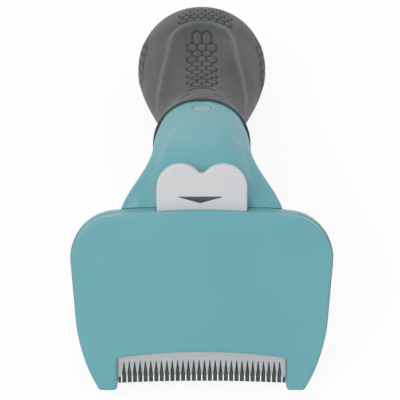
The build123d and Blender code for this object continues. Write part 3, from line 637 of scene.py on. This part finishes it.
@dataclass
class GripSkin:
    """The rubber sleeve's skin: thumb rest, ridge, moulded cells and front lip. Sizes in millimetres."""

    head_depth: float = 10.5
    head_height: float = 48.6
    collar_back: float = 26.5
    collar_rise: float = 12.05
    bend: float = math.radians(74.0)
    slant: float = math.radians(28.0)
    collar_half_width: float = 13.7
    collar_half_height: float = 11.6
    collar_power: float = 2.35
    length: float = 84.0
    waist_along: float = 15.0
    waist_half_width: float = 11.7
    waist_top: float = 12.4
    palm_along: float = 60.0
    palm_half_width: float = 19.5
    palm_top: float = 18.6
    palm_bottom: float = 14.5
    palm_power: float = 2.05
    rest_depth: float = 2.4
    rest_start: float = 4.0
    rest_slope: float = 18.0
    rest_fall: float = 8.5
    rest_end: float = 46.0
    rest_end_width: float = 9.5
    rest_end_reach: float = 7.2
    rest_fade: float = 4.0
    ridge_height: float = 0.3
    ridge_width: float = 0.75
    arc_along: float = 18.7
    arc_width: float = 0.48
    short_arc_width: float = 0.52
    side_middle: float = 26.0
    dome_aside: float = 1.1
    groove_depth: float = 0.42
    groove_share: float = 0.26

    def section(self, along: np.ndarray) -> tuple[np.ndarray, np.ndarray, np.ndarray, np.ndarray]:
        """The sleeve's cross-section along the handle: a waist, then a palm swell and a round end.

        Half width, top and bottom pass smoothly from collar to waist to palm, and past the palm all shrink
        as a quarter ellipse to the end. The section is a superellipse whose power passes from collar to palm.

        Args:
            along: distances beyond the collar.

        Returns:
            Half width, top, bottom and power at each distance.
        """
        to_waist = along / self.waist_along
        to_palm = np.clip((along - self.waist_along) / (self.palm_along - self.waist_along), 0.0, 1.0)
        near = to_waist < 1.0
        width = np.where(
            near,
            ease(self.collar_half_width, self.waist_half_width, to_waist),
            ease(self.waist_half_width, self.palm_half_width, to_palm**0.8),
        )
        top = np.where(
            near,
            ease(self.collar_half_height, self.waist_top, to_waist),
            ease(self.waist_top, self.palm_top, to_palm**1.3),
        )
        bottom = ease(self.collar_half_height, self.palm_bottom, to_palm)
        past = np.clip((along - self.palm_along) / (self.length - self.palm_along), 0.0, 1.0)
        shrink = np.sqrt(1.0 - past**2)
        power = ease(self.collar_power, self.palm_power, to_waist)
        return width * shrink, top * shrink, bottom * shrink, power

    def rim_distance(self, across: np.ndarray, along: np.ndarray) -> np.ndarray:
        """Distance inside the thumb rest's rim, negative outside it.

        The rim is a U in the plane of across and along: two lines that draw in towards the palm, closed by
        half an ellipse. The distance is the least one to points spaced along the U, signed by the side.

        Args:
            across: distances from the middle.
            along: distances beyond the collar.

        Returns:
            The signed distance of each point.
        """
        places = np.array([-12.0, 10.0, 20.0, 26.0, 32.0, 39.0, self.rest_end])
        widths = np.array([18.0, 15.2, 13.7, 12.7, 11.7, 10.5, self.rest_end_width])
        runs = np.linspace(places[0], self.rest_end, 80)
        turns = np.linspace(0.0, math.pi / 2, 80)[1:]
        rim_across = np.concatenate([np.interp(runs, places, widths), self.rest_end_width * np.cos(turns)])
        rim_along = np.concatenate([runs, self.rest_end + self.rest_end_reach * np.sin(turns)])
        sideways = np.abs(across)[..., None] - rim_across.astype(np.float32)
        lengthways = along[..., None] - rim_along.astype(np.float32)
        gap = np.hypot(sideways, lengthways).min(axis=-1)
        reach = np.sqrt(np.clip(1.0 - ((along - self.rest_end) / self.rest_end_reach) ** 2, 0.0, 1.0))
        half = np.where(along < self.rest_end, np.interp(along, places, widths), self.rest_end_width * reach)
        inside = (np.abs(across) < half) & (along < self.rest_end + self.rest_end_reach)
        return np.where(inside, gap, -gap)

    @staticmethod
    def cells(
        across: np.ndarray, along: np.ndarray, rows: Sequence[CellRow], share: float
    ) -> tuple[np.ndarray, np.ndarray]:
        """Moulded cells: grooves where two cell centres are equally near, and a low crown on each cell.

        Every row has its cells side by side about the middle, with one unmoulded cell beyond each end, and
        one unmoulded row lies before and after. Distances are measured in cell pitches.

        Args:
            across: distances from the patch's middle line.
            along: distances beyond the collar.
            rows: the rows of cells, in order along the handle.
            share: width of a groove, in cell pitches.

        Returns:
            The groove's depth and the crown's height, both from 0 to 1.
        """
        first, last = rows[0], rows[-1]
        before = CellRow(2 * first.along - rows[1].along, first.count - 1, first.pitch, first.tall)
        after = CellRow(2 * last.along - rows[-2].along, last.count - 1, last.pitch, last.tall)
        centres: list[tuple[float, float, float, float, bool]] = []
        for number, row in enumerate([before, *rows, after]):
            live = 0 < number <= len(rows)
            for cell in range(-1, row.count + 1):
                place = (cell - (row.count - 1) / 2) * row.pitch
                centres.append((place, row.along, row.pitch, row.tall, live and 0 <= cell < row.count))
        table = np.array([centre[:4] for centre in centres], dtype=np.float32)
        lives = np.array([centre[4] for centre in centres])
        far = np.hypot(
            (across[..., None] - table[:, 0]) / table[:, 2],
            (along[..., None] - table[:, 1]) / table[:, 3],
        )
        order = np.argsort(far, axis=-1)[..., :2]
        near = np.take_along_axis(far, order, axis=-1)
        live = lives[order]
        border = near[..., 1] - near[..., 0]
        inside = live[..., 0] | (live[..., 1] & (border < share))
        groove = np.where(inside, 1.0 - ease(0.0, 1.0, border / share), 0.0)
        crown = np.where(live[..., 0], np.clip(1.0 - (near[..., 0] / 0.62) ** 2, 0.0, 1.0), 0.0)
        return groove, crown

    def thumb_rows(self) -> list[CellRow]:
        """The rows of cells in the thumb rest, close together near the collar and wider towards the palm."""
        places = np.array([21.5, 24.0, 25.9, 27.8, 29.6, 32.0, 34.2, 37.0, 40.0, 43.0, 47.6])
        talls = np.gradient(places)
        return [
            CellRow(float(place), 2 + number % 2, 2.9, float(tall))
            for number, (place, tall) in enumerate(zip(places, talls))
        ]

    def dome_rows(self) -> list[CellRow]:
        """The rows of small cells on top of the palm swell."""
        return [CellRow(54.6 + 2.3 * row, count, 2.3, 2.3) for row, count in enumerate((7, 6, 7, 6, 5))]

    def side_rows(self) -> list[CellRow]:
        """The rows of small cells on each flank of the palm swell."""
        counts = (2, 3, 4, 5, 4, 5, 4, 3, 2)
        return [CellRow(46.0 + 2.5 * row, count, 2.6, 2.5) for row, count in enumerate(counts)]

    def relief(
        self, across: np.ndarray, along: np.ndarray, girth: np.ndarray, upper: np.ndarray
    ) -> tuple[np.ndarray, np.ndarray]:
        """The moulded pattern: cells in the thumb rest, on the dome and on the flanks, and engraved arcs.

        An arc is a groove whose depth falls off as a bell curve from a parabola across the handle.

        Args:
            across: distances from the middle.
            along: distances beyond the collar.
            girth: distances round the section from its top, always positive.
            upper: true on the handle's upper side.

        Returns:
            The height to add along the surface's normal, and the sunk share from 0 to 1.
        """
        groove = np.zeros_like(across)
        crown = np.zeros_like(across)
        beside = girth - self.side_middle

        def within(place: np.ndarray, half: float, start: float, stop: float) -> np.ndarray:
            """Picks the points round one patch of cells."""
            return (along > start) & (along < stop) & (np.abs(place) < half)

        for rows, place, wanted in (
            (self.thumb_rows(), across, upper & within(across, 8.0, 17.0, 54.0)),
            (self.dome_rows(), across - self.dome_aside, upper & within(across, 12.0, 50.0, 68.0)),
            (self.side_rows(), beside, within(beside, 10.0, 41.0, 71.0)),
        ):
            part_groove, part_crown = self.cells(place[wanted], along[wanted], rows, self.groove_share)
            groove[wanted] = np.maximum(groove[wanted], part_groove)
            crown[wanted] = np.maximum(crown[wanted], part_crown)
        reach = np.abs(across)
        main = np.exp(-(((along - self.arc_along + 0.085 * reach**2) / self.arc_width) ** 2))
        main *= ease(1.0, 0.0, (reach - 3.6) / 0.5)
        bend = 13.2 - 0.30 * (reach - 3.4) - 0.28 * (reach - 3.4) ** 2
        short = np.exp(-(((along - bend) / self.short_arc_width) ** 2))
        short *= ease(0.0, 1.0, (reach - 3.3) / 0.4) * ease(1.0, 0.0, (reach - 5.9) / 0.5)
        groove = np.maximum(groove, np.where(upper, np.maximum(main, short), 0.0))
        return 0.14 * crown - self.groove_depth * groove, groove

    def rows_and_columns(self) -> tuple[np.ndarray, np.ndarray]:
        """The grid: turns round the section and shares along the handle, closest where the pattern is.

        Returns:
            The turns in radians from the top, and the row places, as distances for a collar cut square.
        """
        half = np.concatenate(
            [
                np.linspace(0.0, 0.50, 54, endpoint=False),
                np.linspace(0.50, 0.80, 22, endpoint=False),
                np.linspace(0.80, 1.85, 74, endpoint=False),
                np.linspace(1.85, math.pi, 18),
            ]
        )
        turns = np.concatenate([half, -half[-2:0:-1]])
        round_end = self.length - self.palm_along
        places = np.concatenate(
            [
                np.linspace(0.0, 17.0, 36, endpoint=False),
                np.linspace(17.0, 53.0, 150, endpoint=False),
                np.linspace(53.0, 60.0, 32, endpoint=False),
                self.palm_along + round_end * np.sin(np.linspace(0.0, math.radians(89.0), 66)),
            ]
        )
        return turns, places

    def surface(
        self, turns: np.ndarray, places: np.ndarray, inset: float, gap: float
    ) -> tuple[np.ndarray, ...]:
        """Points of the skin in the head's axes before the pattern is added.

        Row places are shifted near the collar so that the first row lies in the slanting plane where the
        rubber starts; the shift fades out over the first 30 mm.

        Args:
            turns: angles round the section from its top.
            places: distances along the handle.
            inset: how far the section is drawn in.
            gap: distance of the first row beyond the slanting plane.

        Returns:
            Across, rise above the axis, along, all as rows by columns.
        """
        along = np.broadcast_to(places[:, None], (len(places), len(turns))).copy()
        turn = np.broadcast_to(turns[None, :], along.shape)
        start = np.zeros(len(turns))
        for _ in range(4):
            width, top, bottom, power = self.section(start)
            cosine = np.cos(turns)
            rise = squircle(cosine, power) * (np.where(cosine > 0, top, bottom) - inset)
            start = gap / math.cos(self.slant) + rise * math.tan(self.slant)
        along += start[None, :] * ease(1.0, 0.0, along / 30.0)
        width, top, bottom, power = self.section(along)
        sine, cosine = np.sin(turn), np.cos(turn)
        shrink = np.where(along > self.palm_along, width / self.palm_half_width, 1.0)
        across = squircle(sine, power) * (width - inset * shrink)
        rise = squircle(cosine, power) * (np.where(cosine > 0, top, bottom) - inset * shrink)
        return across, rise, along

    def build(self, axes: HeadAxes) -> bpy.types.Object:
        """Builds the skin as one closed grid in place of the plain sleeve.

        Args:
            axes: the head's axes.

        Returns:
            The skin.
        """
        turns, places = self.rows_and_columns()
        across, rise, along = self.surface(turns, places, 0.0, 0.35)
        step_across = np.diff(across, axis=1, prepend=across[:, :1])
        step_rise = np.diff(rise, axis=1, prepend=rise[:, :1])
        girth = np.abs(np.cumsum(np.hypot(step_across, step_rise), axis=1))
        half = len(turns) // 2
        round_length = girth[:, -1:] + np.hypot(across[:, :1] - across[:, -1:], rise[:, :1] - rise[:, -1:])
        girth = np.where(np.arange(len(turns))[None, :] > half, round_length - girth, girth)
        upper = rise > 0.0
        inside = self.rim_distance(across, along)
        dip = self.rest_depth * ease(0.0, 1.0, (along - self.rest_start) / self.rest_slope)
        floor = 1.0 - (1.0 - np.clip(inside / self.rest_fall, 0.0, 1.0)) ** 2
        on_rim = np.exp(-((inside / self.ridge_width) ** 2)) * ease(0.0, 1.0, (along - 16.0) / 10.0)
        on_rim *= ease(0.0, 1.0, rise / self.rest_fade)
        rise = rise + self.ridge_height * on_rim - dip * floor * ease(0.0, 1.0, rise / self.rest_fade)
        height, sunk = self.relief(across, along, girth, upper)
        radius = np.maximum(np.hypot(across, rise), 1e-6)
        across, rise = across * (1.0 + height / radius), rise * (1.0 + height / radius)

        rings = []
        for inset, gap in ((1.3, 0.1), (0.32, 0.1), (0.1, 0.16)):
            rings.append(self.surface(turns, places[:1], inset, gap))
        lip_rows = len(rings)
        across = np.concatenate([ring[0] for ring in rings] + [across])
        rise = np.concatenate([ring[1] for ring in rings] + [rise])
        along = np.concatenate([ring[2] for ring in rings] + [along])
        sunk = np.concatenate([np.zeros((lip_rows, len(turns))), sunk])
        rim = np.concatenate([np.zeros((lip_rows, len(turns))), on_rim])
        lip = np.zeros_like(sunk)
        lip[: lip_rows + 1] = 1.0
        depth = self.head_depth + self.collar_back + along * math.sin(self.bend)
        height = self.head_height + self.collar_rise + along * math.cos(self.bend)
        points = np.stack(
            [across, height + rise * math.sin(self.bend), -(depth - rise * math.cos(self.bend))], axis=-1
        )
        count, columns = across.shape
        end_depth = self.head_depth + self.collar_back + self.length * math.sin(self.bend)
        end_height = self.head_height + self.collar_rise + self.length * math.cos(self.bend)
        poles = np.array([points[0].mean(axis=0), [0.0, end_height, -end_depth]])
        row_points = axes.to_row(np.concatenate([points.reshape(-1, 3), poles]))
        row_points[:, 2] = np.maximum(row_points[:, 2], 0.0)
        quads = tube_faces(count, columns)[:, ::-1]
        column = np.arange(columns)
        after = (column + 1) % columns
        last = (count - 1) * columns
        front = np.stack([np.full(columns, count * columns), column, after], axis=1)
        back = np.stack([np.full(columns, count * columns + 1), last + after, last + column], axis=1)
        faces = quads.tolist() + front[:, ::-1].tolist() + back[:, ::-1].tolist()
        # The sunk mask carries the painted shade in the grooves, and the rim mask the painted highlight along
        # the ridge.
        masks = {
            "sunk": np.concatenate([sunk.ravel(), [0.0, 0.0]]),
            "lip": np.concatenate([lip.ravel(), [1.0, 0.0]]),
            "rim": np.concatenate([rim.ravel(), [0.0, 0.0]]),
        }
        skin = make_piece("grip_skin", row_points, faces, "tool", masks)
        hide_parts("grip_sleeve")
        return skin


# ---------------------------------------------------------------- button print
@dataclass
class ArrowPrint:
    """The plain downward triangle printed on the push button. Sizes in millimetres."""

    half_width: float = 6.4
    height: float = 1.75
    corner: float = 0.12
    above_bottom: float = 7.75
    aside: float = -0.4
    thickness: float = 0.05
    taper: float = 0.02
    sunk: float = 0.02
    steps: int = 8

    def outline(self) -> np.ndarray:
        """The triangle with rounded corners, going round once.

        Each corner is an arc of the corner radius about a centre that lies inside both its sides.

        Returns:
            Points across and up from the triangle's top middle.
        """
        corners = np.array([[-self.half_width, 0.0], [self.half_width, 0.0], [0.0, -self.height]])
        parts = []
        for number in range(3):
            here, before, after = corners[number], corners[number - 1], corners[(number + 1) % 3]
            back = (before - here) / np.linalg.norm(before - here)
            on = (after - here) / np.linalg.norm(after - here)
            middle = back + on
            middle /= np.linalg.norm(middle)
            half_angle = math.acos(float(np.clip(back @ middle, -1.0, 1.0)))
            centre = here + middle * self.corner / math.sin(half_angle)
            first = here + back * self.corner / math.tan(half_angle) - centre
            last = here + on * self.corner / math.tan(half_angle) - centre
            start, stop = math.atan2(first[1], first[0]), math.atan2(last[1], last[0])
            turn = (stop - start + math.pi) % (2 * math.pi) - math.pi
            angles = start + turn * np.linspace(0.0, 1.0, self.steps)
            parts.append(centre + self.corner * np.stack([np.cos(angles), np.sin(angles)], axis=1))
        return np.concatenate(parts)

    def build(self, axes: HeadAxes, button: bpy.types.Object) -> bpy.types.Object:
        """Builds the print as a thin pad on the button's face.

        Args:
            axes: the head's axes.
            button: the button's CAD object.

        Returns:
            The print.
        """
        cloud = vertices_of(button) - axes.origin
        face = float((cloud @ axes.out).max()) / MM
        foot = float((cloud @ axes.up).min()) / MM
        flat = self.outline()
        count = len(flat)
        shrunk = flat * (1.0 - self.taper) + flat.mean(axis=0) * self.taper
        layers = [(flat, -self.sunk), (flat, self.thickness * 0.6), (shrunk, self.thickness)]
        points = np.concatenate(
            [
                np.stack(
                    [
                        layer[:, 0] + self.aside,
                        layer[:, 1] + foot + self.above_bottom + self.height,
                        np.full(count, face + lift),
                    ],
                    axis=1,
                )
                for layer, lift in layers
            ]
        )
        faces = tube_faces(len(layers), count).tolist()
        order = list(range(count))
        faces += [order, [2 * count + number for number in reversed(order)]]
        piece = make_piece("button_arrow", axes.to_row(points), faces, "ejector")
        recalculate_outside(piece)
        return piece


def recalculate_outside(piece: bpy.types.Object) -> None:
    """Turns a closed mesh's faces outwards: if the signed volume is negative, every face is reversed."""
    mesh = piece.data
    mesh.calc_loop_triangles()
    corners = np.empty(len(mesh.loop_triangles) * 3, dtype=np.int32)
    mesh.loop_triangles.foreach_get("vertices", corners)
    points = vertices_of(piece)[corners].reshape(-1, 3, 3)
    volume = float(np.einsum("ij,ij->i", points[:, 0], np.cross(points[:, 1], points[:, 2])).sum())
    if volume < 0.0:
        mesh.flip_normals()


# ---------------------------------------------------------------- dressing of the CAD nodes
@dataclass(frozen=True)
class SubAssembly:
    """CAD nodes that share one finish."""

    title: str
    surface: Surface
    nodes: tuple[str, ...]

    def dress(self, loaded: dict[str, Any], finishes: Finishes) -> None:
        """Gives every node the sub-assembly's finish."""
        for name in self.nodes:
            finishes.dress(loaded["nodes"][name], self.surface)
            LOG.info("%s: %s in %s", self.title, name, self.surface.value)


SUB_ASSEMBLIES = (
    SubAssembly("shells", Surface.SHELL, ("head_front_cover", "rear_shell", "neck_top_shell")),
    SubAssembly("button", Surface.BUTTON, ("ejector_button",)),
    SubAssembly("badge", Surface.BADGE, ("size_badge",)),
    SubAssembly("slider", Surface.SLIDER, ("ejector_slider",)),
    SubAssembly("ejector plate", Surface.PLATE, ("ejector_plate", "blade_clamp_bar")),
    SubAssembly("comb", Surface.COMB, ("comb_blade",)),
    SubAssembly(
        "fasteners",
        Surface.FASTENER,
        (
            "blade_screws",
            "ejector_rivets",
            "button_screws",
            "head_screws",
            "neck_screws",
            "core_screws",
            "spring_pin_left",
            "spring_pin_right",
        ),
    ),
    SubAssembly("springs", Surface.SPRING, ("return_spring_left", "return_spring_right")),
)


# ---------------------------------------------------------------- studio
@dataclass
class Studio:
    """The floor, the soft lights and the camera. Lengths in metres."""

    camera_lift: float = math.radians(9.0)
    camera_distance: float = 0.4875
    target_height: float = 51.3
    field_of_view: float = 2 * math.atan(200.0 / 1866.0)
    side_shift: float = -1.8 / 400.0
    floor_half: float = 1.5
    floor_glow: float = 0.9
    ambient: float = 0.55

    def build(self, axes: HeadAxes) -> None:
        """Builds the studio round the tool.

        Args:
            axes: the head's axes, from which the camera's place is taken.
        """
        self._world()
        self._floor()
        self._lights()
        self._camera(axes)

    @staticmethod
    def _seen(sheet: NodeSheet) -> bpy.types.NodeSocket:
        """A value that is 1 for rays from the camera, a reflection or glass."""
        path = sheet.add("LightPath")
        first = sheet.math("MAXIMUM", path.outputs["Is Camera Ray"], path.outputs["Is Glossy Ray"])
        return sheet.math("MAXIMUM", first, path.outputs["Is Transmission Ray"])

    def _world(self) -> None:
        """White where it is seen, and a plain even light otherwise."""
        world = bpy.data.worlds.new("studio")
        bpy.context.scene.world = world
        world.use_nodes = True
        world.node_tree.nodes.clear()
        sheet = NodeSheet(world.node_tree)
        lit = sheet.add("Background", {"Color": (1.0, 1.0, 1.0, 1.0), "Strength": self.ambient})
        shown = sheet.add("Background", {"Color": (1.0, 1.0, 1.0, 1.0), "Strength": 1.0})
        mixed = sheet.add("MixShader", {0: self._seen(sheet), 1: lit.outputs[0], 2: shown.outputs[0]})
        sheet.put_out(mixed, "OutputWorld")

    def _floor(self) -> None:
        """A white floor just under the tool, which keeps a light shadow."""
        half, level = self.floor_half, -0.00005
        corners = [(-half, -half, level), (half, -half, level), (half, half, level), (-half, half, level)]
        mesh = bpy.data.meshes.new("floor")
        mesh.from_pydata(corners, [], [(0, 1, 2, 3)])
        floor = bpy.data.objects.new("floor", mesh)
        bpy.context.scene.collection.objects.link(floor)
        material, sheet = new_material("white floor")
        matt = sheet.add("BsdfDiffuse", {"Color": (0.95, 0.95, 0.95, 1.0)})
        glow = sheet.add("Emission", {"Color": (1.0, 1.0, 1.0, 1.0), "Strength": 1.0})
        share = sheet.math("MULTIPLY", self._seen(sheet), self.floor_glow)
        mixed = sheet.add("MixShader", {0: share, 1: matt.outputs[0], 2: glow.outputs[0]})
        sheet.put_out(mixed)
        mesh.materials.append(material)

    @staticmethod
    def _light(name: str, place: Place, aim: Place, size: float, power: float) -> None:
        """Adds one square soft light that faces its aim."""
        lamp = bpy.data.lights.new(name, "AREA")
        lamp.shape = "SQUARE"
        lamp.size = size
        lamp.energy = power
        holder = bpy.data.objects.new(name, lamp)
        way = np.array(aim) - np.array(place)
        level = math.hypot(way[0], way[1])
        holder.location = place
        holder.rotation_euler = (math.atan2(level, -way[2]), 0.0, math.atan2(-way[0], way[1]))
        bpy.context.scene.collection.objects.link(holder)

    def _lights(self) -> None:
        """A key from the upper left, a weaker fill from the right, a soft top light and one from behind."""
        aim = (0.0, 0.0, 0.02)
        self._light("key", (-0.45, -0.55, 0.75), aim, 0.5, 3.6)
        self._light("fill", (0.75, -0.35, 0.45), aim, 0.5, 1.0)
        self._light("top", (0.0, 0.2, 0.95), aim, 0.6, 0.9)
        self._light("back", (-0.2, 0.9, 0.55), aim, 0.6, 1.2)

    def _camera(self, axes: HeadAxes) -> None:
        """Puts the camera a little above square to the head's face."""
        lens = bpy.data.cameras.new("camera")
        lens.sensor_fit = "HORIZONTAL"
        lens.angle = self.field_of_view
        lens.shift_x = self.side_shift
        lens.clip_start = 0.02
        holder = bpy.data.objects.new("camera", lens)
        way = axes.up * math.sin(self.camera_lift) + axes.out * math.cos(self.camera_lift)
        target = axes.to_row(np.array([[0.0, self.target_height, 0.0]]))[0]
        holder.location = tuple(target + way * self.camera_distance)
        holder.rotation_euler = (math.pi / 2 - math.asin(float(way[2])), 0.0, 0.0)
        bpy.context.scene.collection.objects.link(holder)
        bpy.context.scene.camera = holder


def main() -> None:
    """Builds the whole scene in order and reports each piece."""
    logging.basicConfig(level=logging.INFO, format="%(name)s: %(message)s")
    bpy.context.scene.view_settings.view_transform = "Standard"
    axes = HeadAxes.of_frame(frame)
    LOG.info("head leans back %.3f degrees", math.degrees(axes.lean))
    Studio().build(axes)
    finishes = Finishes(axes.lean)
    for part in SUB_ASSEMBLIES:
        part.dress(frame, finishes)
    skin = GripSkin().build(axes)
    finishes.dress(skin, Surface.RUBBER)
    LOG.info("grip skin: %d faces", len(skin.data.polygons))
    arrow = ArrowPrint().build(axes, frame["nodes"]["ejector_button"])
    finishes.dress(arrow, Surface.PRINT)
    LOG.info("button arrow: %d faces", len(arrow.data.polygons))
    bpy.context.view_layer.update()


if __name__ == "__main__":
    main()
